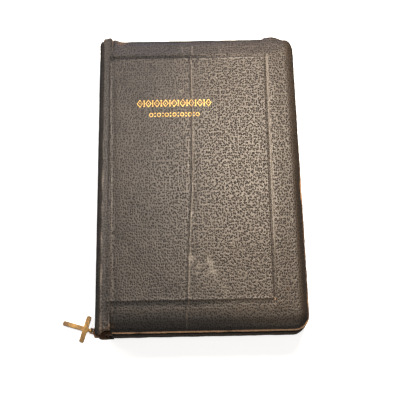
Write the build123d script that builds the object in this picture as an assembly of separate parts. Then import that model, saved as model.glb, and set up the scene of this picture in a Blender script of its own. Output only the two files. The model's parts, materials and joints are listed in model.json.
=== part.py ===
from build123d import *
import math
import os

# Zipped pocket Bible lying on its back cover, with a cross on the zip pull. Millimetres.
# +X runs from the spine to the fore edge, +Y to the head and +Z up. The origin is the middle
# of the flat face of the back cover. The front half of the book mirrors the back half.

# Driving dimensions
book_width = 133.0
book_height = 200.0
book_thickness = 32.0
mid_z = book_thickness / 2

# Leather cases of the two covers
leather_t = 1.2
piping_r = 0.9
piping_proud = 0.6
wall_x = book_width / 2 - piping_proud
wall_y = book_height / 2 - piping_proud
corner_r = 9.0
edge_r = 7.0
piping_z = 20.4
cover_start_x = -55.5
hinge_x = -55.7

# Blind-tooled line on the front cover
line_x = 45.7
line_head_y = 84.6
line_tail_y = -82.2
line_width = 1.2
line_depth = 0.35

# Spine: an elliptic shell round the back of the pages
spine_depth = 10.8
spine_half = 15.6
spine_tail_y = -97.6
spine_head_y = 99.0
spine_leather_t = 1.3
mull_gap = 0.2
mull_t = 0.4
mull_half_y = 91.0
half_gap = 0.05

# Text block
page_width = 118.0
page_half_y = 92.0
page_corner_r = 6.0
page_low_z = 3.0
page_high_z = book_thickness - page_low_z
leaf_low_z = 14.6
leaf_high_z = book_thickness - leaf_low_z
sections_per_half = 5
leaf_groups = 4
page_gap = 0.06

# Boards, linings and flyleaves of the front half
board_z = (29.8, 30.7)
board_x = (-54.5, 59.8)
board_half_y = 93.3
lining_z = (29.45, 29.72)
lining_x = (-54.5, 60.8)
lining_half_y = 94.0
flyleaf_z = (29.15, 29.32)
flyleaf_x = (-55.6, 60.0)
sheet_corner_r = 4.0

# Headbands at both ends of the text block
endband_t = 1.3
endband_depth = 1.6
endband_half_z = 12.0

# Zip
tape_t = 0.5
tape_gap = 0.1
tape_z = (18.2, 24.5)
tooth_pitch = 3.0
tooth_width = 1.2
tooth_depth = 1.8
tooth_z = (15.6, 18.15)

# Tab and stop that close the zip at the head
tab_x = (-64.2, -57.2)
tab_half_z = 5.0
stop_x = (-57.1, -55.8)
stop_half_z = 2.0

# Slider
slider_x = (-64.6, -55.6)
slider_half_z = 3.2
plate_t = 0.9
chain_gap = 0.1
flange_from_z = 2.45
flange_gap = 0.1
post_length = 2.0
post_half_z = 1.4

# Pull: bail on the slider, bent link and cross
pin_x = -60.2
bail_reach = 2.5
bail_t = 0.8
bail_half_x = 2.5
bail_half_z = 0.9
window_reach = 4.6
link_plate_t = 0.9
link_half_z = 2.1
link_window_half_z = 1.3
link_bend_x = -66.0
link_bar_r = 0.8
link_bar_lift = 0.4
cross_pin = Vector(-70.6, -94.2, 1.5)
cross_heading = 163.0
cross_length = 18.4
cross_bar_at = 4.0
cross_bar_half = 8.3
cross_arm = 2.8
cross_t = 1.6
cross_edge_r = 0.35
knuckle_r = 1.1
knuckle_half = 0.9
knuckle_pin_r = 0.45
knuckle_hole_r = 0.6
knuckle_rise = 0.55
shaft_into_knuckle = 0.3
yoke_gap = 0.2
yoke_bar_t = 0.9
ear_clearance = 0.3
ear_t = 0.7
ear_r = 0.95
yoke_back = 1.9

# Gilt ornament: two rows of plain foil lozenges and bars
foil_t = 0.08
ornament_rows = {
    "title_ornament_upper": {"x": (-40.7, 10.2), "y": (47.3, 53.0), "steps": 9},
    "title_ornament_lower": {"x": (-32.3, 2.0), "y": (40.0, 43.8), "steps": 9},
}

os.makedirs("parts", exist_ok=True)
nodes = {}
middle = Plane(origin=(0, 0, mid_z), z_dir=(0, 0, 1))


def block(x, y, z):
    """A box between two limits on each axis."""
    size = [b - a for a, b in (x, y, z)]
    centre = [(a + b) / 2 for a, b in (x, y, z)]
    return Pos(*centre) * Box(*size)


def plan(x_from, x_to, half_y, radius):
    """A plan outline whose two fore corners are rounded."""
    outline = Pos((x_from + x_to) / 2, 0) * Rectangle(x_to - x_from, 2 * half_y)
    return fillet(outline.vertices().sort_by(Axis.X)[-2:], radius)


def slab(x, half_y, z, radius):
    """A flat sheet with rounded fore corners."""
    return Pos(0, 0, z[0]) * extrude(plan(x[0], x[1], half_y, radius), z[1] - z[0])


def both(name, front_piece):
    """Keeps a front piece and its mirror image at the back."""
    nodes["front_" + name] = front_piece
    nodes["back_" + name] = mirror(front_piece, about=middle)


def rim(inset, z):
    """The path round the tail, fore edge and head, at a distance inside the wall."""
    x, y, r = wall_x - inset, wall_y - inset, corner_r - inset
    tail = Line((cover_start_x, -y, z), (x - r, -y, z))
    low = CenterArc((x - r, -(y - r), z), r, -90, 90)
    fore = Line((x, -(y - r), z), (x, y - r, z))
    high = CenterArc((x - r, y - r, z), r, 0, 90)
    head = Line((x - r, y, z), (cover_start_x, y, z))
    return Wire([tail, low, fore, high, head])


def case_solid(inset, x_from, z_from):
    """The outside of a cover case, or its inside when it is inset by the leather."""
    top = book_thickness - inset
    outline = plan(x_from, wall_x - inset, wall_y - inset, corner_r - inset)
    solid = Pos(0, 0, z_from) * extrude(outline, top - z_from)
    rounded = [e for e in solid.faces().sort_by(Axis.Z)[-1].edges() if e.center().X > x_from + 1]
    return fillet(rounded, edge_r - inset)


def cover_case():
    piping_path = rim(piping_r - piping_proud, piping_z)
    section = Plane(origin=piping_path @ 0, z_dir=piping_path % 0) * Circle(piping_r)
    piping = sweep(section, path=piping_path, transition=Transition.RIGHT)
    skin = case_solid(0, cover_start_x, piping_z) - case_solid(leather_t, cover_start_x - 1, piping_z - 1)
    skin = skin - piping
    both("piping", piping)
    nodes["back_leather"] = mirror(skin, about=middle)
    nodes["front_leather"] = skin - tooled_line()


def tooled_line():
    """A three-sided groove that runs out into the joint on the spine side."""
    half = line_width / 2
    z = (book_thickness - line_depth, book_thickness + 1)
    outer = block((cover_start_x - 1, line_x + half), (line_tail_y - half, line_head_y + half), z)
    inner = block((cover_start_x - 1, line_x - half), (line_tail_y + half, line_head_y - half), z)
    return outer - inner


def cover_sheets():
    both("board", slab(board_x, board_half_y, board_z, sheet_corner_r))
    both("lining", slab(lining_x, lining_half_y, lining_z, sheet_corner_r))
    both("flyleaf", slab(flyleaf_x, page_half_y, flyleaf_z, page_corner_r))


def zip_tape():
    outer = leather_t + tape_gap
    inner = outer + tape_t
    ring = plan(cover_start_x, wall_x - outer, wall_y - outer, corner_r - outer)
    ring = ring - plan(cover_start_x - 1, wall_x - inner, wall_y - inner, corner_r - inner)
    both("tape", Pos(0, 0, tape_z[0]) * extrude(ring, tape_z[1] - tape_z[0]))


def zip_teeth():
    """One tooth per pitch round the rim, the back row half a pitch along so that the rows mesh."""
    path = rim(leather_t + tape_gap + tape_t / 2, mid_z)
    low_corner = (wall_x - corner_r) - cover_start_x
    arc = math.pi / 2 * (corner_r - leather_t - tape_gap - tape_t / 2)
    tail_end = low_corner + arc / 2
    head_start = path.length - tail_end
    z_middle = sum(tooth_z) / 2
    tooth = Box(tooth_width, tooth_depth, tooth_z[1] - tooth_z[0])
    for side, offset in (("front", 0.0), ("back", 0.5)):
        rows = {"tail": [], "fore": [], "head": []}
        count = int((path.length - tooth_pitch) / tooth_pitch)
        for k in range(count):
            s = tooth_pitch * (k + 0.5 + offset)
            u = s / path.length
            here, along = path @ u, path % u
            turn = math.degrees(math.atan2(along.Y, along.X))
            height = z_middle if side == "front" else book_thickness - z_middle
            run = "tail" if s < tail_end else "head" if s > head_start else "fore"
            rows[run].append(Pos(here.X, here.Y, height) * Rot(0, 0, turn) * tooth)
        for run, teeth in rows.items():
            nodes[f"{side}_teeth_{run}"] = Compound(children=teeth)


def spine_profile(depth_out, half_out, thickness):
    """The upper quarter of the elliptic shell, drawn in X and Z."""
    ring = Ellipse(depth_out, half_out) - Ellipse(depth_out - thickness, half_out - thickness)
    ring = Pos(hinge_x, mid_z) * ring
    size = 2 * half_out
    keep = Pos(hinge_x - size / 2, mid_z + half_gap + size / 2) * Rectangle(size, size)
    return ring & keep


def along_y(profile, y_from, y_to):
    """Carries an X-Z profile from one Y to another."""
    return Pos(0, y_to, 0) * extrude(Plane.XZ * profile, y_to - y_from)


def spine():
    leather = along_y(spine_profile(spine_depth, spine_half, spine_leather_t), spine_tail_y, spine_head_y)
    nodes["front_spine_leather"] = leather
    nodes["rear_spine_leather"] = mirror(leather, about=middle)
    inset = spine_leather_t + mull_gap
    profile = spine_profile(spine_depth - inset, spine_half - inset, mull_t)
    mull = along_y(profile, -mull_half_y, mull_half_y)
    nodes["front_mull"] = mull
    nodes["rear_mull"] = mirror(mull, about=middle)


page_inset = spine_leather_t + mull_gap + mull_t + mull_gap
page_depth = spine_depth - page_inset
page_half_z = spine_half - page_inset


def page_edge(z):
    """The fore edge at a height: the round of the back, a page's width along."""
    return hinge_x + page_width - page_depth * math.sqrt(1 - ((z - mid_z) / page_half_z) ** 2)


def page_slab(z_from, z_to):
    back = Pos(hinge_x, mid_z) * Ellipse(page_depth, page_half_z)
    body = Pos(hinge_x + page_width / 2, mid_z) * Rectangle(page_width, 2 * page_half_z)
    hollow = Pos(hinge_x + page_width, mid_z) * Ellipse(page_depth, page_half_z)
    layer_x = hinge_x + page_width / 2
    layer = Pos(layer_x, (z_from + z_to) / 2) * Rectangle(2 * page_width, z_to - z_from)
    pages = along_y((back + body - hollow) & layer, -page_half_y, page_half_y)
    reach = max(page_edge(z_from), page_edge(z_to)) + 0.05
    corners = slab((hinge_x - spine_depth, reach), page_half_y + 1, (z_from - 1, z_to + 1), page_corner_r + 1)
    return pages & corners


def text_block():
    step = (leaf_low_z - page_low_z) / sections_per_half
    for k in range(sections_per_half):
        low = page_low_z + k * step
        section = page_slab(low, low + step - page_gap)
        nodes[f"rear_section_{k + 1}"] = section
        nodes[f"front_section_{k + 1}"] = mirror(section, about=middle)
    step = (leaf_high_z - leaf_low_z) / leaf_groups
    for k in range(leaf_groups):
        low = leaf_low_z + k * step
        nodes[f"leaf_group_{k + 1}"] = page_slab(low, low + step - page_gap)


def endbands():
    profile = spine_profile(page_depth, page_half_z, endband_depth)
    limit = Pos(hinge_x, mid_z) * Rectangle(4 * spine_depth, 2 * endband_half_z)
    for end, y in (("head", (page_half_y, page_half_y + endband_t)),
                   ("tail", (-page_half_y - endband_t, -page_half_y))):
        band = along_y(profile & limit, y[0], y[1])
        nodes[f"front_endband_{end}"] = band
        nodes[f"rear_endband_{end}"] = mirror(band, about=middle)


chain_y = -(wall_y - leather_t - tape_gap - tape_t / 2)
chain_half = tooth_depth / 2 + chain_gap
outer_plate_y = chain_y - chain_half - plate_t


def zip_ends():
    head_y = (-chain_y - tape_t / 2, -chain_y + tape_t / 2)
    nodes["head_zip_tab"] = block(tab_x, head_y, (mid_z - tab_half_z, mid_z + tab_half_z))
    stop_y = (-chain_y - tooth_depth / 2, -chain_y + tooth_depth / 2)
    nodes["head_bottom_stop"] = block(stop_x, stop_y, (mid_z - stop_half_z, mid_z + stop_half_z))


def slider():
    height = (mid_z - slider_half_z, mid_z + slider_half_z)
    outer = (outer_plate_y, outer_plate_y + plate_t)
    inner = (chain_y + chain_half, chain_y + chain_half + plate_t)
    body = block(slider_x, outer, height) + block(slider_x, inner, height)
    body += block((slider_x[0], slider_x[0] + post_length), (outer[1], inner[0]),
                  (mid_z - post_half_z, mid_z + post_half_z))
    tape_side = tape_t / 2 + flange_gap
    for sign in (-1, 1):
        ends = sorted((mid_z + sign * flange_from_z, mid_z + sign * slider_half_z))
        body += block(slider_x, (outer[1], chain_y - tape_side), ends)
        body += block(slider_x, (chain_y + tape_side, inner[0]), ends)
    bail_x = (pin_x - bail_half_x, pin_x + bail_half_x)
    bail_z = (mid_z - bail_half_z, mid_z + bail_half_z)
    bail = block(bail_x, (outer[0] - bail_reach, outer[0]), bail_z)
    window = block((bail_x[0] + bail_t, bail_x[1] - bail_t), (outer[0] - bail_reach + bail_t, outer[0]), bail_z)
    nodes["slider_body"] = body + (bail - window)


pin_y = outer_plate_y - (bail_reach - bail_t) / 2
heading = Vector(math.cos(math.radians(cross_heading)), math.sin(math.radians(cross_heading)), 0)
sideways = Vector(heading.Y, -heading.X, 0)


def rod(start, end, radius):
    """A round bar from one point to another."""
    run = end - start
    return Plane(origin=start, z_dir=run.normalized()) * Cylinder(
        radius, run.length, align=(Align.CENTER, Align.CENTER, Align.MIN))


def turned(point, x_size, y_size, z_size):
    """A box at a point, lined up with the cross."""
    return Pos(point) * Rot(0, 0, cross_heading) * Box(x_size, y_size, z_size)


def pull_link():
    height = (mid_z - link_half_z, mid_z + link_half_z)
    strap = block((link_bend_x, pin_x), (pin_y - link_plate_t / 2, pin_y + link_plate_t / 2), height)
    strap += Pos(pin_x, pin_y, mid_z) * Cylinder(link_plate_t / 2, 2 * link_half_z)
    window = block((pin_x - window_reach, pin_x + 1), (pin_y - 2, pin_y + 2),
                   (mid_z - link_window_half_z, mid_z + link_window_half_z))
    link = strap - window + Pos(pin_x, pin_y, mid_z) * Cylinder(link_plate_t / 2, 2 * link_half_z)
    back = cross_pin - heading * yoke_back
    link += rod(Vector(link_bend_x, pin_y, mid_z), back + Vector(0, 0, link_bar_lift), link_bar_r)
    link += Pos(link_bend_x, pin_y, mid_z) * Sphere(link_bar_r)
    ear_at = knuckle_half + yoke_gap + ear_t / 2
    width = 2 * ear_at + ear_t
    link += turned(back, yoke_bar_t, width, 2 * ear_r)
    for sign in (-1, 1):
        ear = cross_pin + sideways * (sign * ear_at)
        link += turned(ear - heading * (yoke_back / 2), yoke_back, ear_t, 2 * ear_r)
        link += rod(ear - sideways * (ear_t / 2), ear + sideways * (ear_t / 2), ear_r)
    link += rod(cross_pin - sideways * ear_at, cross_pin + sideways * ear_at, knuckle_pin_r)
    nodes["pull_link"] = link


def pull_cross():
    z = cross_pin.Z - knuckle_rise
    start = knuckle_r - shaft_into_knuckle
    shaft_at = Vector(cross_pin.X, cross_pin.Y, z) + heading * ((start + cross_length) / 2)
    bar_at = Vector(cross_pin.X, cross_pin.Y, z) + heading * cross_bar_at
    cross = turned(shaft_at, cross_length - start, cross_arm, cross_t)
    cross += turned(bar_at, cross_arm, 2 * cross_bar_half, cross_t)
    cross = chamfer(cross.faces().sort_by(Axis.Z)[-1].edges(), cross_edge_r)
    clear = knuckle_half + yoke_gap + ear_t + ear_clearance
    for sign in (-1, 1):
        beside = cross_pin + sideways * (sign * (clear + knuckle_half) / 2)
        cross -= turned(beside, 3.0, clear - knuckle_half, 4 * cross_t)
    cross += rod(cross_pin - sideways * knuckle_half, cross_pin + sideways * knuckle_half, knuckle_r)
    hole = rod(cross_pin - sideways * 3, cross_pin + sideways * 3, knuckle_hole_r)
    nodes["pull_cross"] = cross - hole


def ornament(x, y, steps):
    """Lozenges and upright bars in turn across the row."""
    z = book_thickness + foil_t / 2
    pitch = (x[1] - x[0]) / steps
    height = y[1] - y[0]
    middle_y = (y[0] + y[1]) / 2
    pieces = []
    for k in range(steps):
        at = x[0] + (k + 0.5) * pitch
        half_x, half_y = 0.36 * pitch, height / 2
        lozenge = Polygon((half_x, 0), (0, half_y), (-half_x, 0), (0, -half_y), align=None)
        pieces.append(Pos(at, middle_y, book_thickness) * extrude(lozenge, foil_t))
        if k:
            pieces.append(Pos(at - pitch / 2, middle_y, z) * Box(0.12 * pitch, 0.6 * height, foil_t))
    return Compound(children=pieces)


cover_case()
cover_sheets()
zip_tape()
zip_teeth()
spine()
text_block()
endbands()
zip_ends()
slider()
pull_link()
pull_cross()
for name, row in ornament_rows.items():
    nodes[name] = ornament(**row)

for name, shape in nodes.items():
    export_step(shape, f"parts/{name}.step")
    print(name, len(shape.solids()), round(shape.volume, 1))
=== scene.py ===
import json
import math

import bmesh
import bpy
from mathutils import Matrix, Vector, noise


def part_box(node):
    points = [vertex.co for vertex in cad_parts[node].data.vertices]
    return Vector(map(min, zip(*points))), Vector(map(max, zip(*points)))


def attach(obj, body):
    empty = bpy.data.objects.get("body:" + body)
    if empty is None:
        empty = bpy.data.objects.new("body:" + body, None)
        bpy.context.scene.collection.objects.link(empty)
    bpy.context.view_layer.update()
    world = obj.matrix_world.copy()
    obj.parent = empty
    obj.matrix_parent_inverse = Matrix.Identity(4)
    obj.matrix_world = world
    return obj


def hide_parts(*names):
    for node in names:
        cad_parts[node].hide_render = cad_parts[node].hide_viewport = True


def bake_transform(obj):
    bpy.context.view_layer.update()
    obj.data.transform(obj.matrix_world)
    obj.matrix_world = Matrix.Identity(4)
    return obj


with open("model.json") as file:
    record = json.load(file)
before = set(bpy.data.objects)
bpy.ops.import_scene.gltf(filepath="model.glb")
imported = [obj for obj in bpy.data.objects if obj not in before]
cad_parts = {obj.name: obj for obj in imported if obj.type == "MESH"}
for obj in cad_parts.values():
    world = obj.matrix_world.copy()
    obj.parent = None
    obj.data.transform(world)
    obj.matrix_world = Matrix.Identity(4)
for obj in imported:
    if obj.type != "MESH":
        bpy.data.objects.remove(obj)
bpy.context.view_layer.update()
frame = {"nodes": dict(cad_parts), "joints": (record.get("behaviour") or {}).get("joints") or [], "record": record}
mm = 0.001


def span(node):
    # lowest and highest corner of a CAD node, in millimetres
    low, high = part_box(node)
    return low / mm, high / mm


caseLow, caseHigh = span("front_leather")
pipingLow, pipingHigh = span("front_piping")
spineLow, spineHigh = span("front_spine_leather")
topZ = caseHigh.z
midZ = topZ / 2
joints = {joint["name"]: joint for joint in frame["joints"]}
frontHinge = Vector(joints["front_cover_hinge"]["pos_m"]) / mm
openingAxis = Vector(joints["book_opening"]["pos_m"]) / mm
print("frame loaded, case from", [round(v, 1) for v in caseLow], "to", [round(v, 1) for v in caseHigh])


# materials

class Value:
    # a socket that takes part in Python expressions
    def __init__(self, finish, out):
        self.finish, self.out = finish, out

    def sums(self, operation, *terms):
        return self.finish.node("ShaderNodeMath", {"operation": operation}, *terms)

    def __add__(self, other):
        return self.sums("ADD", self, other)

    def __radd__(self, other):
        return self.sums("ADD", other, self)

    def __sub__(self, other):
        return self.sums("SUBTRACT", self, other)

    def __rsub__(self, other):
        return self.sums("SUBTRACT", other, self)

    def __mul__(self, other):
        return self.sums("MULTIPLY", self, other)

    def __rmul__(self, other):
        return self.sums("MULTIPLY", other, self)


class Finish:
    # one material, its nodes made by a single method
    def __init__(self, name):
        self.material = bpy.data.materials.new(name)
        self.material.use_nodes = True
        self.tree = self.material.node_tree
        self.shader = self.tree.nodes["Principled BSDF"]

    def node(self, kind, settings, *values, out=0, **named):
        made = self.tree.nodes.new(kind)
        for key, value in settings.items():
            setattr(made, key, value)
        for place, value in [*enumerate(values), *named.items()]:
            if value is None:
                continue
            socket = made.inputs[place]
            if isinstance(value, Value):
                self.tree.links.new(value.out, socket)
            else:
                socket.default_value = value
        return Value(self, made.outputs[out])

    def place(self, stretch=(1, 1, 1), turn=0.0):
        # Object coordinates in millimetres
        here = self.node("ShaderNodeTexCoord", {}, out=3)
        scale = [s / mm for s in stretch]
        return self.node("ShaderNodeMapping", {}, here, Rotation=(0, 0, turn), Scale=scale)

    def axis(self, name):
        here = self.node("ShaderNodeTexCoord", {}, out=3)
        return self.node("ShaderNodeSeparateXYZ", {}, here, out="XYZ".index(name)) * (1 / mm)

    def noise(self, where, size, detail=3.0, rough=0.55):
        return self.node("ShaderNodeTexNoise", {}, where, Scale=1 / size, Detail=detail, Roughness=rough)

    def cells(self, where, size, settings, **more):
        return self.node("ShaderNodeTexVoronoi", settings, where, Scale=1 / size, **more)

    def bands(self, where, direction, scale, distortion=0.0):
        return self.node("ShaderNodeTexWave", {"bands_direction": direction}, where, scale, distortion)

    def ease(self, value, low, high):
        return self.node("ShaderNodeMapRange", {"interpolation_type": "SMOOTHSTEP"}, value, low, high)

    def mix(self, factor, first, second, blend="MIX"):
        settings = {"data_type": "RGBA", "blend_type": blend, "clamp_factor": True}
        colours = [c if isinstance(c, Value) else (*c, 1) for c in (first, second)]
        return self.node("ShaderNodeMix", settings, factor, None, None, None, None, None, *colours, out=2)

    def attribute(self, name):
        return self.node("ShaderNodeAttribute", {"attribute_name": name}, out=2)

    def bump(self, height, distance, strength=1.0):
        return self.node("ShaderNodeBump", {}, strength, distance * mm, Height=height)

    def put(self, **sockets):
        names = {"color": "Base Color", "roughness": "Roughness", "metallic": "Metallic",
                 "normal": "Normal", "sheen": "Sheen Weight", "specular": "Specular IOR Level",
                 "glow": "Emission Color", "glowStrength": "Emission Strength"}
        for key, value in sockets.items():
            socket = self.shader.inputs[names[key]]
            if isinstance(value, Value):
                self.tree.links.new(value.out, socket)
            else:
                socket.default_value = (*value, 1) if isinstance(value, tuple) else value
        return self.material


leather = {
    "cell": 1.36, "disorder": 0.72, "stretch": (1.0, 0.76, 1.0), "relief": 0.12, "rough": 0.37,
    "dark": (0.021, 0.0165, 0.0140), "mid": (0.038, 0.030, 0.026), "paintedSheen": (0.064, 0.046, 0.031),
    "shadedPit": (0.0030, 0.0025, 0.0022), "brown": (0.120, 0.074, 0.048), "bare": (0.36, 0.25, 0.165),
    "paleScuffAndHighlight": (0.21, 0.185, 0.155),
}


def pebbleLeather():
    f = Finish("pebbleLeather")
    plain = f.place()
    flat = f.node("ShaderNodeAttribute", {"attribute_name": "grain"}, out=1)
    where = f.node("ShaderNodeMapping", {}, flat, Scale=leather["stretch"])
    drift = f.node("ShaderNodeTexNoise", {}, where, Scale=0.30, Detail=2.0, out=1)
    where = f.node("ShaderNodeVectorMath", {"operation": "MULTIPLY_ADD"}, drift, (1.6, 1.6, 0), where)
    flatCells = {"voronoi_dimensions": "2D"}
    pebble = f.cells(where, leather["cell"], flatCells, Randomness=leather["disorder"])
    small = f.cells(where, leather["cell"] / 2.3, flatCells)
    deep = f.noise(plain, 5.0)
    marksAndPaintedLight = f.attribute("marksAndPaintedLight")
    # each cell has a pinched pit in its middle, painted near-black as shade in the hollow
    shadedPit = f.ease(pebble + 0.22 * deep, 0.50, 0.30) * (1.0 - 0.75 * f.ease(marksAndPaintedLight, 0.1, 0.8))
    mottle = f.noise(plain, 13.0, 4.0, 0.62)
    cloud = f.noise(plain, 42.0, 3.0)
    colour = f.mix(f.ease(mottle, 0.32, 0.68), leather["dark"], leather["mid"])
    # painted sheen: the leather turns warmer and lighter towards the fore edge, where the key light's glare falls
    colour = f.mix(f.ease(f.axis("X") + 30 * cloud, -20.0, 50.0) * 0.8, colour, leather["paintedSheen"])
    grit = f.noise(plain, 1.2, 5.0, 0.7)
    wear = f.attribute("wear") + 0.7 * grit
    worn = f.ease(wear, 0.62, 1.02)
    colour = f.mix(worn * 0.92, colour, leather["brown"])
    colour = f.mix(f.ease(wear, 0.98, 1.32), colour, leather["bare"])
    # pale scuffs and painted highlights, from the attribute above zero
    paleScuffAndHighlight = f.ease(marksAndPaintedLight + 0.5 * grit, 0.30, 1.05)
    colour = f.mix(paleScuffAndHighlight * 0.8, colour, leather["paleScuffAndHighlight"])
    # below zero the attribute holds painted shade
    shadeMask = f.ease(marksAndPaintedLight, -0.05, -0.75)
    # the pits and the marks below zero are mixed to near-black painted shade
    colour = f.mix(shadedPit * 0.80, f.mix(shadeMask * 0.85, colour, leather["shadedPit"]), leather["shadedPit"])
    height = f.ease(pebble, 0.04, 0.52) - 0.12 * small
    normal = f.bump(height, leather["relief"], 1.0)
    rough = leather["rough"] + 0.10 * mottle + 0.20 * worn + 0.38 * shadedPit + 0.25 * shadeMask
    return f.put(color=colour, roughness=rough, normal=normal, specular=0.5)


def wornHighlightedPiping():
    f = Finish("wornHighlightedPiping")
    plain = f.place()
    grit = f.noise(plain, 0.9, 5.0, 0.75)
    wear = f.attribute("wear") + 0.8 * grit
    colour = f.mix(f.ease(wear, 0.55, 0.95), (0.012, 0.009, 0.007), (0.12, 0.068, 0.040))
    colour = f.mix(f.ease(wear, 0.92, 1.25), colour, (0.86, 0.53, 0.31))
    cracks = f.ease(f.cells(plain, 0.8, {"feature": "DISTANCE_TO_EDGE"}), 0.08, 0.0)
    colour = f.mix(cracks * 0.7, colour, (0.014, 0.010, 0.008))
    normal = f.bump(grit - cracks * 0.5, 0.25, 0.8)
    return f.put(color=colour, roughness=0.50 + 0.2 * grit, normal=normal)


def plainCloth(name, dark, light, threads, sheen):
    f = Finish(name)
    plain = f.place()
    weave = f.bands(plain, "DIAGONAL", 1 / threads, 0.8) * f.bands(plain, "Z", 0.8 / threads, 0.5)
    fade = f.noise(plain, 7.0)
    colour = f.mix(f.ease(weave + 0.5 * fade, 0.2, 1.1), dark, light)
    return f.put(color=colour, roughness=0.82, normal=f.bump(weave, 0.18, 0.8), sheen=sheen)


def agedPaper(name, pale, toned, layer):
    # sheet edges show as fine lines across Z, and the paper is toned in blotches
    f = Finish(name)
    plain = f.place()
    edges = f.noise(f.place((0.012, 0.012, 1.0)), layer, 2.0, 0.6)
    blotch = f.noise(plain, 45.0, 2.0, 0.4)
    colour = f.mix(f.ease(blotch, 0.25, 0.95) * 0.30, pale, toned)
    colour = f.mix(f.ease(edges, 0.52, 0.66) * 0.45, colour, tuple(c * 0.62 for c in toned))
    fibres = f.noise(plain, 0.5, 3.0)
    return f.put(color=colour, roughness=0.78, normal=f.bump(edges + 0.15 * fibres, 0.12, 0.7))


def metalFinish(name, bright, tarnish, patchSize, rough, ridge=0.0):
    f = Finish(name)
    plain = f.place()
    patch = f.noise(plain, patchSize, 5.0, 0.65)
    scratches = f.noise(f.place((1.0, 0.16, 1.0), 0.5), 0.35, 3.0)
    age = f.ease(patch + f.attribute("wear") * 0.6, 0.40, 0.72)
    colour = f.mix(age, bright, tarnish)
    height = scratches * 0.25 + patch * 0.4
    if ridge:
        hatch = f.bands(f.place((1, 1, 0.0), 0.55), "X", ridge, 0.7)
        colour = f.mix(hatch * 0.42, colour, tarnish)
        height = height + hatch * 0.8
    return f.put(color=colour, roughness=rough + 0.22 * age, metallic=1.0 - 0.45 * age,
                 normal=f.bump(height, 0.16, 0.9))


def rubbedGilt():
    f = Finish("rubbedGilt")
    plain = f.place()
    flake = f.noise(plain, 0.9, 5.0, 0.7)
    lost = f.ease(flake + 0.3 * f.noise(plain, 8.0), 0.70, 0.80)
    colour = f.mix(f.ease(f.noise(plain, 3.0), 0.35, 0.65), (0.62, 0.41, 0.12), (0.48, 0.29, 0.08))
    colour = f.mix(lost * 0.8, colour, (0.10, 0.075, 0.05))
    return f.put(color=colour, roughness=0.46 + 0.3 * lost, metallic=0.6 - 0.55 * lost,
                 normal=f.bump(flake, 0.10, 0.6))


def greyBoard():
    f = Finish("greyBoard")
    plain = f.place()
    fibre = f.noise(f.place((0.3, 1, 1)), 0.8, 5.0, 0.7)
    colour = f.mix(f.ease(fibre, 0.3, 0.7), (0.30, 0.26, 0.20), (0.46, 0.41, 0.33))
    return f.put(color=colour, roughness=0.9, normal=f.bump(f.noise(plain, 0.6), 0.15, 0.6))


def silkBand():
    f = Finish("silkBand")
    stripes = f.bands(f.place(), "Z", 0.28)
    colour = f.mix(f.ease(stripes, 0.45, 0.55), (0.22, 0.03, 0.026), (0.40, 0.35, 0.26))
    threads = f.bands(f.place(), "Z", 1.1)
    return f.put(color=colour, roughness=0.5, normal=f.bump(threads, 0.15, 0.8), sheen=0.3)


finishes = {
    "cover_leather": pebbleLeather(),
    "piping_leather": wornHighlightedPiping(),
    "board": greyBoard(),
    "lining": plainCloth("linerCloth", (0.012, 0.011, 0.010), (0.035, 0.031, 0.029), 0.9, 0.15),
    "endpaper": agedPaper("endpaper", (0.70, 0.63, 0.49), (0.58, 0.48, 0.33), 0.3),
    "pages": agedPaper("thinPaper", (0.74, 0.68, 0.54), (0.60, 0.50, 0.35), 0.16),
    "zip_tape": plainCloth("zipTape", (0.006, 0.0055, 0.0055), (0.030, 0.027, 0.026), 0.6, 0.35),
    "zip_metal": metalFinish("zipBrass", (0.30, 0.18, 0.11), (0.055, 0.032, 0.023), 2.0, 0.40),
    "gilt": rubbedGilt(),
    "mull": plainCloth("mullCloth", (0.45, 0.38, 0.27), (0.66, 0.60, 0.47), 1.4, 0.1),
    "endband": silkBand(),
    "pull_brass": metalFinish("antiqueGold", (0.54, 0.33, 0.11), (0.20, 0.125, 0.065), 4.0, 0.34,
                              ridge=0.30),
    "link_metal": metalFinish("brownTarnish", (0.30, 0.16, 0.09), (0.07, 0.035, 0.022), 1.6, 0.42),
}
slotOf = {row["node"]: row["material_slot"] for row in frame["record"]["subparts"]}
for node, thing in frame["nodes"].items():
    thing.data.materials.clear()
    thing.data.materials.append(finishes[slotOf[node]])
print("materials made:", len(finishes))


# helpers for meshes

def piece(name, points, faces, slot, wear=None, marksAndPaintedLight=None, smooth=True, grain=None):
    mesh = bpy.data.meshes.new(name)
    mesh.from_pydata([Vector(p) * mm for p in points], [], faces)
    mesh.update()
    if grain:
        flat = [value for u, v in grain for value in (u, v, 0.0)]
        mesh.attributes.new("grain", "FLOAT_VECTOR", "POINT").data.foreach_set("vector", flat)
    for label, values in (("wear", wear), ("marksAndPaintedLight", marksAndPaintedLight)):
        if values:
            mesh.attributes.new(label, "FLOAT", "POINT").data.foreach_set("value", values)
    thing = bpy.data.objects.new(name, mesh)
    bpy.context.scene.collection.objects.link(thing)
    mesh.materials.append(finishes[slot])
    mesh.polygons.foreach_set("use_smooth", [smooth] * len(mesh.polygons))
    return thing


def settle(thing, *modifiers):
    # adds the modifiers, then keeps their result as a plain mesh
    for kind, settings in modifiers:
        added = thing.modifiers.new(kind, kind)
        for key, value in settings.items():
            setattr(added, key, value)
    graph = bpy.context.evaluated_depsgraph_get()
    mesh = bpy.data.meshes.new_from_object(thing.evaluated_get(graph))
    thing.modifiers.clear()
    thing.data = mesh
    return thing


def thicken(thing, thickness):
    return settle(thing, ("SOLIDIFY", {"thickness": thickness * mm, "offset": -1.0, "use_rim": True}))

def between(rows, count, closed=True):
    # quads between rows of points, each row with the same count
    faces = []
    for k in range(rows - 1):
        for n in range(count if closed else count - 1):
            here, beside = k * count + n, k * count + (n + 1) % count
            faces.append((here, here + count, beside + count, beside))
    return faces

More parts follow.
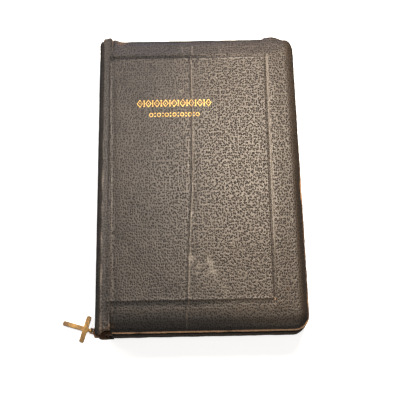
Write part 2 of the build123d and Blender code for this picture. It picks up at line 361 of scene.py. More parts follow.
def wave(x, y, z, size, seed=0.0):
    return noise.noise(Vector((x / size + seed, y / size - seed, z / size + 2 * seed)))


def bell(distance, width):
    return math.exp(-(distance / width) ** 2)


def ease(value, low, high):
    t = min(1.0, max(0.0, (value - low) / (high - low)))
    return t * t * (3 - 2 * t)


def spread(low, high, step, *closeups):
    # positions from low to high, closer together about each (centre, reach, fine step)
    at, found = low, []
    while at < high - 1e-6:
        found.append(at)
        middle = at + step / 2
        near = [fine for centre, reach, fine in closeups if abs(middle - centre) < reach + step / 2]
        at += min([step, *near])
    if high - found[-1] < 0.3 * step and len(found) > 1:
        found.pop()
    return [*found, high]


def toLine(x, y, line):
    # distance from a point to a line of straight runs
    best = 1e9
    for (ax, ay), (bx, by) in zip(line, line[1:]):
        length = (bx - ax) ** 2 + (by - ay) ** 2
        t = min(1.0, max(0.0, ((x - ax) * (bx - ax) + (y - ay) * (by - ay)) / length))
        best = min(best, math.hypot(x - ax - t * (bx - ax), y - ay - t * (by - ay)))
    return best


def mirrored(points):
    return [(x, y, topZ - z) for x, y, z in points]


# leather cases of the two covers

case = {
    "cornerR": 9.0, "edgeR": 7.0, "step": 1.7, "cornerSteps": 16, "edgeSteps": 9, "thick": 0.7,
    "lineX": (46.4, 45.0), "lineY": (84.5, -82.2), "ridgeX": -56.2, "ridgeTurn": -0.0195, "endX": -57.9,
    "longCrease": [(-2.7, 93), (-3.6, 81.4), (-3.4, 59.7), (-3.2, 45), (-3.2, 29), (-3.8, -3.5),
                   (-5.6, -34), (-7.1, -62), (-7.8, -83), (-9.5, -98)],
    "shortCreases": [[(17.5, 93), (15.3, 85.3), (13.8, 78.5), (12.9, 68)], [(-10.2, 93), (-8.3, 83.5)]],
    "scuffs": [[(-5.3, -55.7), (3.4, -54.6), (7.0, -62.3)],
               [(4.6, -58.5), (8.1, -64.9), (12.2, -71.9), (16.3, -78.3)],
               [(-10.6, 58.2), (-14, 52.4)], [(-3.2, -27), (-2.4, -31)]],
    "scuffPatches": [(-1.0, -58.4, 7.0, 0.30), (5.0, -70.0, 9.0, 0.20)],  # x, y, reach, strength
    "wornPatches": [(-50.5, 97.5, 4.5, 0.75), (66.0, -8.0, 4.0, 0.45), (52.8, -76.8, 1.7, 0.80),
                    (44.9, -82.3, 0.9, 1.4), (-53.5, -98.0, 3.5, 0.55)],
    "headFolds": [(51.0, 4.6, 1.75), (58.6, 1.6, -0.55), (62.0, 2.4, 0.5), (46.5, 1.1, 0.55),
                  (-55.0, 2.6, 1.5)],  # x, reach, height
    "tailSwell": 0.75, "foreTuck": 1.15,
}
cornerX = caseHigh.x - case["cornerR"]
cornerY = caseHigh.y - case["cornerR"]


def lineAt(y):
    # the fore-edge side of the tooled frame leans in towards the tail
    high, low = case["lineY"]
    return case["lineX"][1] + (y - low) / (high - low) * (case["lineX"][0] - case["lineX"][1])

def tooling(x, y):
    # blind-tooled line: a groove at the head, a ridge at the fore edge and a step at the tail
    high, low = case["lineY"]
    across, up, down = x - lineAt(y), y - high, low - y
    inside = 1 - ease(across, 0.3, 1.2)
    between = (1 - ease(up, 0.0, 1.0)) * (1 - ease(down, 0.0, 1.0))
    z = between * (0.26 * bell(across - 0.7, 0.55) - 0.34 * bell(across + 0.35, 0.5))
    sunk = ease(down, -0.3, 1.3) * (1 - ease(down, 2.0, 6.0))
    z += inside * (0.16 * bell(down + 0.5, 0.6) - 0.32 * sunk)
    z += inside * (0.12 * bell(up + 1.1, 0.6) - 0.42 * bell(up, 0.65))
    return z - 0.75 * max(ease(across, 2.5, 14.5), ease(down, 0.8, 10.5), ease(up, 0.5, 8.5))


def ridgeAt(y):
    return case["ridgeX"] + case["ridgeTurn"] * (y + 8)


def topHeight(x, y, front):
    # how far the leather stands above or below the flat of the cover
    past = ridgeAt(y) - x
    z = 0.18 * wave(x, y, 0, 26.0, 3.1) + 0.06 * wave(x, y, 0, 6.0, 1.7)
    z *= ease(cornerX + 8 - x, 0, 10) * ease(cornerY + 8 - abs(y), 0, 10)
    z += 0.30 * bell(past, 0.75) * (1 + 0.8 * wave(x, y, 0, 7.0, 9.0)) - 0.16 * bell(past + 2.2, 1.1)
    z -= 0.55 * ease(past, 0.3, 1.6)
    if not front:
        return min(0.0, z - 0.7 * max(ease(x, 46, 60), ease(abs(y), 83, 94)))
    z += tooling(x, y)
    shift = 0.5 * wave(0, y, 0, 8.0, 2.0)
    long = toLine(x + shift, y, case["longCrease"])
    if long < 5:
        much = 0.75 + 0.6 * wave(0, y, 0, 18.0, 4.0)
        z += much * (0.38 * bell(long, 0.75) - 0.12 * bell(long - 2.0, 1.0))
    for line in case["shortCreases"]:
        z += 0.24 * bell(toLine(x + shift, y, line), 0.7)
    return z


def caseProfile():
    # outward reach and drop below the top, from the flat over the edge and down behind the piping
    r, steps = case["edgeR"], case["edgeSteps"]
    flat = case["cornerR"] - r
    turn = [(flat + r * math.sin(a), r - r * math.cos(a))
            for a in (math.pi / 2 * k / steps for k in range(steps + 1))]
    drop = topZ - (pipingLow.z + pipingHigh.z) / 2
    wall = [(case["cornerR"], r + (drop - 2.2 - r) * k / 2) for k in (1, 2)]
    tuck = [(case["cornerR"] - 0.35, drop - 1.35), (case["cornerR"] - 0.95, drop - 0.75),
            (case["cornerR"] - 1.15, drop + 0.1)]
    return [(flat / 2, 0.0), *turn, *wall, *tuck]


def edgeLump(x, y, front):
    # gathered leather at the head corner, and small unevenness of the turned edge all round
    lump = 0.22 * wave(x, y, 0, 9.0, 6.0) + 0.10 * wave(x, y, 0, 3.2, 2.0)
    if not front:
        return lump + case["tailSwell"] * (y < -cornerY)
    if y > cornerY:
        lump += sum(height * bell(x - at, reach) for at, reach, height in case["headFolds"])
    return lump - case["foreTuck"] * ease(x, cornerX + 3, cornerX + 8) * ease(-y, -45, 25)

def patched(x, y, patches):
    return sum(much * bell(math.hypot(x - px, y - py), reach) for px, py, reach, much in patches)

def caseWear(x, y, z, front):
    low = (topZ - z) / (topZ - pipingLow.z)
    edge = 0.22 * ease(low, 0.75, 1.0)
    if not front:
        return edge + 0.25 * ease(low, 0.15, 0.4)
    edge += patched(x, y, case["wornPatches"])
    edge += 0.62 * bell(y - 99.2, 0.8) * (0.6 + 0.8 * wave(x, 0, 0, 9.0, 4.0))
    return edge + 0.42 * bell(x - ridgeAt(y), 0.8) * (0.65 + 0.35 * ease(-y, -30, 60))


def scuffsAndHighlights(x, y, shift):
    # scuffs, with painted highlights on the crease crests and along the rubbed sides of the tooled frame
    (high, low), side = case["lineY"], lineAt(y)
    ragged = 0.75 + 1.3 * wave(x, y, 0, 4.5, 6.0)
    pale = ragged * sum(0.30 * bell(toLine(x, y, line), 2.6) for line in case["scuffs"])
    pale += ragged * patched(x, y, case["scuffPatches"])
    pale += 0.55 * bell(toLine(x + shift, y, case["longCrease"]), 0.7)
    pale += 0.4 * sum(bell(toLine(x + shift, y, line), 0.7) for line in case["shortCreases"])
    if low < y < high + 1:
        pale += 0.95 * bell(x - side - 0.9, 0.95) * (0.30 + 0.70 * ease(y, -75, -20))
    return pale + 0.45 * bell(y - high + 1.3, 0.8) * ease(x, 14, 26) * (1 - ease(x, side, side + 1.5))

def paintedShade(x, y, shift):
    # painted shade beside the long crease, along the frame lines, in the joint and darker towards the tail
    (high, low), side = case["lineY"], lineAt(y)
    inside = 1 - ease(x, side - 2, side)
    dark = 0.26 * bell(toLine(x + shift + 1.3, y, case["longCrease"]), 0.9)
    dark += 0.72 * bell(y - high, 1.8) * (1 - ease(x, -12, 24))
    dark += 0.72 * bell(y - low + 1.6, 1.8) * inside * (1 - 0.6 * ease(x, -5, 30))
    dark += 0.75 * ease(-y, 84, 95) * (1 - 0.4 * ease(x, -10, 50))
    dark += 0.5 * bell(x - side + 0.4, 0.6) * (low < y < high)
    return dark + 0.45 * bell(x - ridgeAt(y) - 1.6, 0.8)

def scuffsHighlightsAndShade(x, y):
    # above zero: pale scuffs and painted highlights; below zero: painted shade
    shift = 0.5 * wave(0, y, 0, 8.0, 2.0)
    return max(-1.0, min(1.0, scuffsAndHighlights(x, y, shift) - paintedShade(x, y, shift)))

def coverCase(name, front):
    xs = spread(case["endX"], cornerX, case["step"], (case["ridgeX"], 3.6, 0.5), (-5.5, 4.6, 0.5),
                (sum(case["lineX"]) / 2, 2.6, 0.38))
    ys = spread(-cornerY, cornerY, case["step"], *[(y, 1.9, 0.38) for y in case["lineY"]])
    points = [(x, y, topZ + topHeight(x, y, front)) for x in xs for y in ys]
    grain = [(x, y) for x in xs for y in ys]
    index = {(i, j): i * len(ys) + j for i in range(len(xs)) for j in range(len(ys))}
    faces = [(index[i, j], index[i + 1, j], index[i + 1, j + 1], index[i, j + 1])
             for i in range(len(xs) - 1) for j in range(len(ys) - 1)]
    lastX, lastY = len(xs) - 1, len(ys) - 1
    fan = [math.pi / 2 * k / case["cornerSteps"] for k in range(1, case["cornerSteps"])]
    stations = [(index[i, 0], (0, -1)) for i in range(len(xs))]
    stations += [(index[lastX, 0], (math.sin(a), -math.cos(a))) for a in fan]
    stations += [(index[lastX, j], (1, 0)) for j in range(len(ys))]
    stations += [(index[lastX, lastY], (math.cos(a), math.sin(a))) for a in fan]
    stations += [(index[i, lastY], (0, 1)) for i in range(lastX, -1, -1)]
    profile = caseProfile()
    rows = []
    for base, (ox, oy) in stations:
        bx, by, _ = points[base]
        end = max(0.0, caseLow.x - bx) / (caseLow.x - case["endX"] + 0.05)
        shrink = math.sqrt(1 - end * end)
        row, along, last = [base], 0.0, (0.0, 0.0)
        for reach, drop in profile:
            along += math.dist(last, (reach, drop))
            last = reach, drop
            grain.append((bx + ox * along, by + oy * along))
            out = reach * (0.35 + 0.65 * shrink)
            x, y = bx + ox * out, by + oy * out
            lift = topHeight(x, y, front) * (1 - ease(drop, 0.2, 5.0))
            lump = edgeLump(x, y, front) * ease(drop, 0.1, 3.0) * (1 - ease(drop, 7.0, 10.5))
            slope = min(1.0, drop / case["edgeR"])
            lean = math.sqrt(max(0.0, 1 - (1 - slope) ** 2))
            points.append((x + ox * lump * lean, y + oy * lump * lean,
                           topZ - drop * (0.25 + 0.75 * shrink) + lift + lump * (1 - slope)))
            row.append(len(points) - 1)
        rows.append(row)
    for one, two in zip(rows, rows[1:]):
        for k in range(len(profile)):
            corners = [one[k], one[k + 1], two[k + 1], two[k]]
            faces.append(corners if one[k] != two[k] else corners[:3])
    wear = [min(1.0, caseWear(x, y, z, front)) for x, y, z in points]
    marksAndPaintedLight = [scuffsHighlightsAndShade(x, y) if front else 0.0 for x, y, z in points]
    if not front:
        points = mirrored(points)
        faces = [face[::-1] for face in faces]
    thing = piece(name, points, faces, "cover_leather", wear, marksAndPaintedLight, grain=grain)
    return thicken(thing, case["thick"])


def coverEnds(thing):
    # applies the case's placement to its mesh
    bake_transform(thing)


frontCase = coverCase("frontCase", True)
coverEnds(frontCase)
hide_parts("front_leather")
backCase = coverCase("backCase", False)
coverEnds(backCase)
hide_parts("back_leather")
print("cover cases:", len(frontCase.data.polygons), "faces each")


# path round the open edge

def rimPath(inset, z, step, first=0.0):
    # from the tail of the spine round to the head, as evenly spaced (point, outward direction)
    x, y = caseHigh.x - inset, caseHigh.y - inset
    r = case["cornerR"] - inset
    runs = [x - r - caseLow.x, math.pi / 2 * r, 2 * (y - r), math.pi / 2 * r, x - r - caseLow.x]
    found, s = [], first
    total = sum(runs)
    while s <= total:
        if s < runs[0]:
            found.append(((caseLow.x + s, -y, z), (0, -1)))
        elif s < sum(runs[:2]):
            a = (s - runs[0]) / r
            out = math.sin(a), -math.cos(a)
            found.append(((x - r + r * out[0], -y + r + r * out[1], z), out))
        elif s < sum(runs[:3]):
            found.append(((x, -y + r + s - sum(runs[:2]), z), (1, 0)))
        elif s < sum(runs[:4]):
            a = (s - sum(runs[:3])) / r
            out = math.cos(a), math.sin(a)
            found.append(((x - r + r * out[0], y - r + r * out[1], z), out))
        else:
            found.append(((x - r - (s - sum(runs[:4])), y, z), (0, 1)))
        s += step
    return found


piping = {"step": 0.85, "sides": 12, "wrinkle": 0.16, "sag": 0.22, "proud": 0.25,
          "wear": {"tail": 1.35, "head": 0.60, "fore": 0.55}}

def pipingTube(name, front):
    radius = (pipingHigh.z - pipingLow.z) / 2
    inset = caseHigh.x - (pipingHigh.x - radius)
    path = rimPath(inset, (pipingLow.z + pipingHigh.z) / 2, piping["step"])
    points, wear = [], []
    sides = piping["sides"]
    for k, ((x, y, z), (ox, oy)) in enumerate(path):
        fat = radius * (1 + piping["wrinkle"] * wave(x, y, z, 2.2, 4.0) + 0.12 * wave(x, y, z, 9.0, 1.0))
        fat *= 0.55 + 0.45 * ease(min(k, len(path) - 1 - k), 0, 3)
        sag = piping["sag"] * wave(x, y, 0, 17.0, 7.0)
        proud = piping["proud"] * ease(x, cornerX + 2, cornerX + 8) * ease(-y, -45, 25)
        for n in range(sides):
            a = 2 * math.pi * n / sides
            out = fat * math.cos(a) + proud
            points.append((x + ox * out, y + oy * out, z + sag + fat * math.sin(a)))
            # wear on the upward side of the bead, made strongest at the tail as a painted highlight where the tail
            # bead lies in shade
            crestWearAndHighlight = max(0.0, math.cos(a - 0.95)) ** 2
            much = piping["wear"]["tail" if y < -cornerY - 3 else "head" if y > cornerY + 3 else "fore"]
            patch = 0.9 * bell(y + 8.3, 5.5) * (x > cornerX) + 0.5 * bell(math.hypot(x + 50, y - 99), 7)
            wear.append(min(1.1, 0.10 + much * crestWearAndHighlight * (0.8 + 0.5 * wave(x, y, 0, 11.0, 3.0)) + patch))
    faces = between(len(path), sides)
    faces.append(tuple(range(sides)))
    faces.append(tuple(reversed(range(len(points) - sides, len(points)))))
    if not front:
        points = mirrored(points)
        faces = [face[::-1] for face in faces]
    return piece(name, points, faces, "piping_leather", wear)


for label, front, body in (("front", True, "front_cover"), ("back", False, "back_cover")):
    tube = pipingTube(label + "Piping", front)
    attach(tube, body)
    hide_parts(label + "_piping")
print("piping made")


# spine leather with its worn caps

spine = {"columns": 46, "step": 1.7, "capRows": 7, "capR": 1.25, "thick": 1.15, "top": 91.0}


def capReach(x, z, head):
    # how far the cap stands beyond the straight part of the spine
    if head:
        peak = 1.2 * bell(x + 65.8, 1.1) - 3.4 * ease(x, -58.2, -55.4)
        return 0.65 + 0.5 * bell(z - 5, 5) + ease(z, midZ, midZ + 6) * peak
    return 0.6 + 1.5 * bell(z - 6.0, 5.0) - 0.4 * bell(z - 16.5, 2.6) + 1.6 * bell(z - 25, 4.5)


def spineShell():
    wide = frontHinge.x - openingAxis.x
    tall = spineHigh.z - midZ
    angles = [math.radians(spine["top"] + (360 - 2 * spine["top"]) * k / spine["columns"])
              for k in range(spine["columns"] + 1)]
    tail, head = spineLow.y, spineHigh.y
    ys = spread(tail, head, spine["step"], (tail, 6, 0.6), (head, 6, 0.6))
    curl = [math.pi * 1.05 * k / spine["capRows"] for k in range(1, spine["capRows"] + 1)]
    rows = [(tail, a) for a in reversed(curl)] + [(y, 0.0) for y in ys] + [(head, a) for a in curl]
    points, wear, marksAndPaintedLight, grain = [], [], [], []
    for y, a in rows:
        for t in angles:
            z = midZ + tall * math.sin(t)
            near = max(ease(y, head - 7, head), ease(-y, -tail - 7, -tail))
            reach = capReach(frontHinge.x + wide * math.cos(t), z, y > 0) * near
            fold = spine["capR"] * (1 + 0.35 * wave(z, y, t, 3.0, 2.0))
            inward = fold * (1 - math.cos(a))
            degrees = math.degrees(t)
            ridge = 125 + 2.5 * wave(0, y, 0, 16.0, 1.0)
            lump = near * (0.60 * wave(t * 11, z, y, 2.6, 5.0) + 0.35 * wave(t * 11, z, y, 1.2, 8.0))
            lump += 0.12 * wave(z, y, t, 8.0, 4.0) - 0.45 * bell(degrees - 99.5, 2.2)
            lump += 0.42 * bell(degrees - ridge, 4.0) - 0.20 * bell(degrees - ridge - 9, 4.5)
            size = 1 - (inward - lump) / tall
            sideways = 1 - (inward - lump) / wide
            at = y + (reach + fold * math.sin(a)) * (1 if y > 0 else -1)
            x = frontHinge.x + wide * sideways * math.cos(t)
            points.append((x, at, midZ + tall * size * math.sin(t)))
            streak = (0.7 + 1.1 * wave(z, y, t, 9.0, 6.0)) * (0.35 + 0.65 * ease(-y, -45, 10))
            much = (0.30 if y > 0 else 0.36) * near + 0.25 * near * bell(degrees - 93, 7)
            # extra wear on the tail cap's outer curl, which also stands in as painted light where the lamps hardly
            # reach
            much += 0.32 * ease(a, 0.3, 1.2) * (y < 0)
            much += 0.52 * bell(degrees - ridge + 1, 3.5) * streak
            much += 0.8 * bell(math.hypot(y + 69, (z - 20) * 1.4), 2.6)
            wear.append(min(1.0, much + 0.05))
            grain.append((frontHinge.x - math.radians(degrees - 90) * (wide + tall) / 2, at + 2 * a))
            # painted highlight along the joint ridge, painted shade in the groove beside the front cover and over
            # the spine's left-facing side
            marksAndPaintedLight.append(0.62 * bell(degrees - ridge, 6.0) * streak - 0.9 * bell(degrees - 99.5, 2.0)
                         - 0.9 * ease(degrees, ridge + 10, ridge + 24))
    faces = between(len(rows), len(angles), closed=False)
    thing = piece("spineLeather", points, faces, "cover_leather", wear, marksAndPaintedLight, grain=grain)
    return thicken(thing, spine["thick"])

spineLeather = spineShell()
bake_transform(spineLeather)
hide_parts("rear_spine_leather", "front_spine_leather")
print("spine made")


# things repeated along a path by geometry nodes

def repeatTree():
    tree = bpy.data.node_groups.new("repeatAlongPath", "GeometryNodeTree")
    face = tree.interface
    kinds = {"Path": "Geometry", "Motif": "Object", "Pitch": "Float", "Finish": "Material"}
    for label, kind in kinds.items():
        face.new_socket(label, in_out="INPUT", socket_type="NodeSocket" + kind)
    face.new_socket("Row", in_out="OUTPUT", socket_type="NodeSocketGeometry")
    make, link = tree.nodes.new, tree.links.new
    given, result = make("NodeGroupInput"), make("NodeGroupOutput")
    curve, even = make("GeometryNodeMeshToCurve"), make("GeometryNodeResampleCurve")
    even.mode = "LENGTH"
    motif, tangent = make("GeometryNodeObjectInfo"), make("GeometryNodeInputTangent")
    turn = make("FunctionNodeAlignRotationToVector")
    turn.axis, turn.pivot_axis = "X", "Z"
    copies, real = make("GeometryNodeInstanceOnPoints"), make("GeometryNodeRealizeInstances")
    paint = make("GeometryNodeSetMaterial")
    link(given.outputs["Path"], curve.inputs["Mesh"])
    link(curve.outputs["Curve"], even.inputs["Curve"])
    link(given.outputs["Pitch"], even.inputs["Length"])
    link(given.outputs["Motif"], motif.inputs["Object"])
    link(tangent.outputs["Tangent"], turn.inputs["Vector"])
    link(even.outputs["Curve"], copies.inputs["Points"])
    link(motif.outputs["Geometry"], copies.inputs["Instance"])
    link(turn.outputs["Rotation"], copies.inputs["Rotation"])
    link(copies.outputs["Instances"], real.inputs["Geometry"])
    link(real.outputs["Geometry"], paint.inputs["Geometry"])
    link(given.outputs["Finish"], paint.inputs["Material"])
    link(paint.outputs["Geometry"], result.inputs["Row"])
    return tree


repeater = repeatTree()


def repeated(name, path, motif, pitch, slot):
    mesh = bpy.data.meshes.new(name)
    mesh.from_pydata([Vector(p) * mm for p in path], [(k, k + 1) for k in range(len(path) - 1)], [])
    carrier = bpy.data.objects.new(name, mesh)
    bpy.context.scene.collection.objects.link(carrier)
    row = carrier.modifiers.new("row", "NODES")
    row.node_group = repeater
    items = repeater.interface.items_tree
    sockets = {item.name: item.identifier for item in items if item.in_out == "INPUT"}
    row[sockets["Motif"]] = motif
    row[sockets["Pitch"]] = pitch * mm
    row[sockets["Finish"]] = finishes[slot]
    settle(carrier)
    bpy.data.objects.remove(motif)
    return carrier


# zip teeth

teeth = {"pitch": 2.2, "length": 2.75,
         "rings": [(0.0, 1.15, 1.75), (0.75, 1.15, 1.95), (1.15, 0.75, 1.55), (1.75, 1.35, 1.7),
                   (2.35, 1.25, 1.55), (2.75, 0.55, 0.9)]}  # height, width and depth of each ring


def oneTooth(name, down):
    # eight-sided rings from the clamped root to the round tip
    points = []
    for at, width, deep in teeth["rings"]:
        for n in range(8):
            a = math.pi * (n + 0.5) / 4
            x = width / 2 * max(-1, min(1, 1.25 * math.cos(a)))
            y = deep / 2 * max(-1, min(1, 1.25 * math.sin(a)))
            points.append((x, y, -at if down else at))
    faces = [face[::-1] for face in between(len(teeth["rings"]), 8)]
    faces.append(tuple(reversed(range(8))))
    faces.append(tuple(range(len(points) - 8, len(points))))
    if down:
        faces = [face[::-1] for face in faces]
    return piece(name, points, faces, "zip_metal", smooth=False)


tapeLow, tapeHigh = span("front_tape")
toothInset = caseHigh.x - tapeHigh.x + (tapeHigh.y - span("head_zip_tab")[0].y) / 2
for label, down, body in (("front", True, "front_cover"), ("back", False, "back_cover")):
    z = tapeLow.z + 0.5 if down else topZ - tapeLow.z - 0.5
    start = 0.6 if down else 0.6 + teeth["pitch"] / 2
    path = [point for point, outward in rimPath(toothInset, z, 0.55, start)]
    row = repeated(label + "Teeth", path, oneTooth(label + "Tooth", down), teeth["pitch"], "zip_metal")
    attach(row, body)
    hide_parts(*(f"{label}_teeth_{run}" for run in ("tail", "fore", "head")))
print("zip rows:", len(row.data.polygons), "faces in each")


# gilt ornament: plain lozenges, rings and bars of foil

ornament = {"upperSteps": 9, "lowerSteps": 7, "thick": 0.17, "sink": 0.25,
            "upperStroke": 0.56, "lowerStroke": 0.44, "bar": 0.55}


def foilShape(name, loops):
    # flat shapes of foil, each an outline and a hole, with a thin edge
    mesh = bmesh.new()
    for pair in loops:
        outline, hole = (denser(loop) for loop in pair)
        count = len(outline)
        rings = [[mesh.verts.new((x * mm, y * mm, z * mm)) for x, y in loop]
                 for loop, z in ((outline, -ornament["sink"]), (outline, ornament["thick"]),
                                 (hole, ornament["thick"]), (hole, -ornament["sink"]))]
        for k in range(4):
            low, high = rings[k], rings[(k + 1) % 4]
            for n in range(count):
                mesh.faces.new((low[n], low[(n + 1) % count], high[(n + 1) % count], high[n]))
    bmesh.ops.remove_doubles(mesh, verts=mesh.verts, dist=1e-7)
    bmesh.ops.dissolve_degenerate(mesh, edges=mesh.edges, dist=1e-7)
    bmesh.ops.recalc_face_normals(mesh, faces=mesh.faces)
    data = bpy.data.meshes.new(name)
    mesh.to_mesh(data)
    mesh.free()
    thing = bpy.data.objects.new(name, data)
    bpy.context.scene.collection.objects.link(thing)
    return thing


def denser(loop):
    # four points on every side, so that the foil follows the creases below it
    return [(x + (nx - x) * k / 4, y + (ny - y) * k / 4)
            for (x, y), (nx, ny) in zip(loop, loop[1:] + loop[:1]) for k in range(4)]


def oval(rx, ry, sides, x=0.0, y=0.0):
    return [(x + rx * math.cos(2 * math.pi * n / sides), y + ry * math.sin(2 * math.pi * n / sides))
            for n in range(sides)]


def ringLoop(rx, ry, stroke, sides, x=0.0, y=0.0):
    inner = max(0.0, 1 - stroke / min(rx, ry))
    return oval(rx, ry, sides, x, y), oval(rx * inner, ry * inner, sides, x, y)


def barLoop(height, width):
    # an upright bar with flared ends, closed by a hole with no width
    outline = []
    for side in (1, -1):
        for at in (-1.0, -0.84, -0.66, 0.0, 0.66, 0.84, 1.0):
            flare = 1.0 + 1.4 * max(0.0, abs(at) - 0.6) / 0.4
            outline.append((side * width / 2 * flare, side * at * height / 2))
    return outline, [(0.0, y) for x, y in outline]


def giltRow(name, node, steps, first, second):
    # first and second take turns along the row
    low, high = span(node)
    middle = (low.y + high.y) / 2
    pitch = (high.x - low.x) / (steps - 1 + 2 * first["half"])
    rows = []
    for shape, at, count in ((first, 0.0, steps), (second, 0.5, steps - 1)):
        start = low.x + (first["half"] + at) * pitch
        path = [(start, middle, topZ), (start + (count - 0.999) * pitch, middle, topZ)]
        motif = foilShape(name + "Motif", shape["loops"](pitch, high.y - low.y))
        rows.append(repeated(name, path, motif, pitch * (count - 0.999) / (count - 1), "gilt"))
    mesh = bmesh.new()
    for row in rows:
        mesh.from_mesh(row.data)
    for vert in mesh.verts:
        vert.co.z += topHeight(vert.co.x / mm, vert.co.y / mm, True) * mm
    mesh.to_mesh(rows[0].data)
    mesh.free()
    bpy.data.objects.remove(rows[1])
    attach(rows[0], "front_cover")
    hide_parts(node)


lozenge = {"half": 0.36, "loops": lambda p, h: [ringLoop(0.36 * p, h / 2, ornament["upperStroke"], 4),
                                                ringLoop(0.06 * p, 0.09 * h, 2.0, 4)]}
bar = {"loops": lambda p, h: [barLoop(0.80 * h, ornament["bar"])]}
ring = {"half": 0.27, "loops": lambda p, h: [ringLoop(0.27 * p, 0.40 * h, ornament["lowerStroke"], 10)]}
dots = {"loops": lambda p, h: [ringLoop(0.10 * p, 0.10 * p, 2.0, 8, 0, at * h) for at in (-0.28, 0.28)]}
giltRow("giltUpper", "title_ornament_upper", ornament["upperSteps"], lozenge, bar)
giltRow("giltLower", "title_ornament_lower", ornament["lowerSteps"], ring, dots)
print("gilt rows made")


# cross on the pull

cross = {"arm": 3.0, "thick": 1.6, "low": 0.12, "barAt": 4.0, "barHalf": 8.8, "length": 19.0, "tip": 0.8,
         "round": 0.42, "neck": 0.9, "shaftFrom": 0.85, "neckTo": 1.7, "fullFrom": 2.1,
         "knuckleR": 1.1, "holeR": 0.6, "chamfer": 0.15, "sides": 20}

def tipPoints(length, width):
    # a rounded end, listed from one side to the other
    return [(length - cross["tip"] + cross["tip"] * math.sin(a), width * math.cos(a))
            for a in (math.pi * k / 8 for k in range(9))]

def crossOutline():
    # distances along and across from the pin, round the bar and the foot and back
    half, neck, barAt = cross["arm"] / 2, cross["neck"], cross["barAt"]
    shaft = [(cross["shaftFrom"], neck), (cross["neckTo"], neck), (cross["fullFrom"], half), (barAt - half, half)]
    barEnd = tipPoints(cross["barHalf"], half)
    left = [(barAt - v, u) for u, v in barEnd]
    right = [(barAt - v, -u) for u, v in barEnd]
    foot = [(barAt + half, half), *tipPoints(cross["length"], half), (barAt + half, -half)]
    return shaft + left + foot + right[::-1] + [(u, -v) for u, v in shaft[::-1]]

def crossPiece():
    joint = joints["cross_lift"]
    pin, side = Vector(joint["pos_m"]) / mm, Vector(joint["axis"])
    along = Vector((-side.y, side.x, 0))
    below = Vector((pin.x, pin.y, 0))
    flat = [below + along * u + side * v for u, v in crossOutline()]
    points = [(spot.x, spot.y, z) for z in (cross["low"], cross["low"] + cross["thick"]) for spot in flat]
    count = len(flat)
    faces = [tuple(range(count, 2 * count)), tuple(reversed(range(count)))]
    faces += [(n, (n + 1) % count, (n + 1) % count + count, n + count) for n in range(count)]
    middle = below + along * cross["barAt"]
    wear = [0.45 * ease((spot - middle).length, 5.0, 13.0) for spot in flat] * 2
    thing = piece("crossPull", points, faces, "pull_brass", wear)
    mesh = bmesh.new()
    mesh.from_mesh(thing.data)
    bmesh.ops.remove_doubles(mesh, verts=mesh.verts, dist=1e-6)
    bmesh.ops.recalc_face_normals(mesh, faces=mesh.faces)
    mesh.to_mesh(thing.data)
    mesh.free()
    settle(thing, ("BEVEL", {"width": cross["round"] * mm, "segments": 4, "limit_method": "ANGLE"}))
    barrel(thing, pin, side, along)
    for polygon in thing.data.polygons:
        polygon.use_smooth = True
    return thing

def barrel(thing, pin, side, along):
    # the knuckle that turns on the pin of the link
    neck, outer, inner, chamfer = cross["neck"], cross["knuckleR"], cross["holeR"], cross["chamfer"]
    steps = cross["sides"]
    section = [(-neck, inner), (-neck, outer - chamfer), (-neck + chamfer, outer), (neck - chamfer, outer),
               (neck, outer - chamfer), (neck, inner)]
    rays = [along * math.cos(a) + Vector((0, 0, 1)) * math.sin(a)
            for a in (2 * math.pi * n / steps for n in range(steps))]
    mesh = bmesh.new()
    mesh.from_mesh(thing.data)
    rings = [[mesh.verts.new((pin + side * v + ray * r) * mm) for ray in rays] for v, r in section]
    made = []
    for one, two in zip(rings, rings[1:] + rings[:1]):
        for n in range(steps):
            m = (n + 1) % steps
            made.append(mesh.faces.new((one[n], one[m], two[m], two[n])))
    bmesh.ops.recalc_face_normals(mesh, faces=made)
    mesh.to_mesh(thing.data)
    mesh.free()

crossPull = crossPiece()
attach(crossPull, "pull_cross")
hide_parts("pull_cross")
print("cross made")


# floor, lights and camera

studio = {"reach": 8.0, "curve": 3.0, "turns": 48, "paper": 0.90, "glow": 0.82, "world": 0.10}
lamps = {
    "key": {"at": (0.075, 0.165, 0.42), "size": 0.16, "power": 3.0, "tint": (1.0, 0.86, 0.70),
            "aim": (0.03, 0, 0.03)},
    "headGlow": {"at": (-0.02, 0.60, 0.30), "size": 0.40, "power": 1.3, "tint": (0.52, 0.68, 1.0),
            "aim": (0, 0.05, 0)},
    "above": {"at": (-0.10, -0.30, 1.3), "size": 1.0, "power": 0.6, "tint": (1.0, 0.93, 0.86),
            "aim": (0, 0, 0)},
    "tailFill": {"at": (0.05, -0.55, 0.15), "size": 0.50, "power": 1.2, "tint": (1.0, 0.90, 0.8),
            "aim": (0, -0.1, 0.02)},
    "spineSide": {"at": (-0.50, 0.20, 0.26), "size": 0.30, "power": 2.2, "tint": (1.0, 0.90, 0.80),
            "aim": (-0.06, 0, 0.03)},
}
view = {"aim": (0.53, -12.26, 16.0), "away": 559.55, "tilt": 19.087, "turn": -0.929, "roll": -1.212,
        "lens": 77.0}


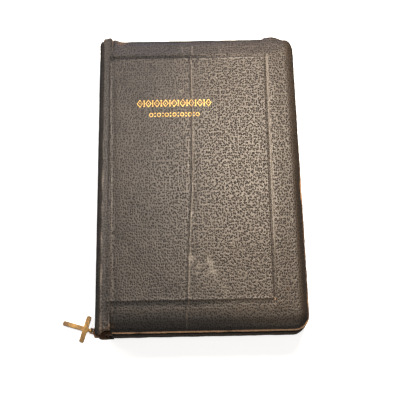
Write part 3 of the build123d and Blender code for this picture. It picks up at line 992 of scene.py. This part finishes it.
def whiteSweep():
    # a round floor that curves up into a wall far behind; only the floor takes shadows
    f = Finish("whitePaper")
    paper = (studio["paper"],) * 3
    f.put(color=paper, roughness=0.9, specular=0.0, glow=paper, glowStrength=studio["glow"])
    reach, curve, turns = studio["reach"], studio["curve"], studio["turns"]
    quarter = [math.pi / 2 * k / 8 for k in range(9)]
    bend = [(reach + curve * math.sin(a), curve - curve * math.cos(a)) for a in quarter]
    for name, rings in (("floor", [(reach, 0.0)]), ("backdrop", [*bend, (reach + curve, reach)])):
        points = [(x, y, z) for r, z in rings for x, y in oval(r, r, turns)]
        faces = [face[::-1] for face in between(len(rings), turns)] or [tuple(range(turns))]
        mesh = bpy.data.meshes.new(name)
        mesh.from_pydata(points, [], faces)
        mesh.materials.append(f.material)
        thing = bpy.data.objects.new(name, mesh)
        bpy.context.scene.collection.objects.link(thing)
        thing.visible_diffuse = thing.visible_glossy = False
        thing.visible_shadow = name == "floor"


def softLight(name, at, size, power, tint, aim):
    lamp = bpy.data.lights.new(name, "AREA")
    lamp.energy, lamp.size, lamp.color = power, size, tint
    thing = bpy.data.objects.new(name, lamp)
    thing.location = at
    thing.rotation_euler = (Vector(at) - Vector(aim)).to_track_quat("Z", "Y").to_euler()
    bpy.context.scene.collection.objects.link(thing)


def camera():
    tilt, turn = math.radians(view["tilt"]), math.radians(view["turn"])
    back = Vector((math.sin(turn) * math.sin(tilt), -math.cos(turn) * math.sin(tilt), math.cos(tilt)))
    side = Vector((0, 1, 0)).cross(back).normalized()
    up = back.cross(side)
    axes = Matrix((side, up, back)).transposed()
    lens = bpy.data.cameras.new("camera")
    lens.lens, lens.sensor_width = view["lens"], 36.0
    thing = bpy.data.objects.new("camera", lens)
    spin = Matrix.Rotation(math.radians(view["roll"]), 4, "Z")
    place = Matrix.Translation((Vector(view["aim"]) + back * view["away"]) * mm)
    thing.matrix_world = place @ axes.to_4x4() @ spin
    lens.clip_start = 0.01
    bpy.context.scene.collection.objects.link(thing)
    bpy.context.scene.camera = thing


whiteSweep()
for name, lamp in lamps.items():
    softLight(name, **lamp)
world = bpy.data.worlds.new("studio")
world.use_nodes = True
world.node_tree.nodes["Background"].inputs["Color"].default_value = (1, 1, 1, 1)
world.node_tree.nodes["Background"].inputs["Strength"].default_value = studio["world"]
bpy.context.scene.world = world
bpy.context.scene.view_settings.view_transform = "Standard"
camera()
print("studio ready")
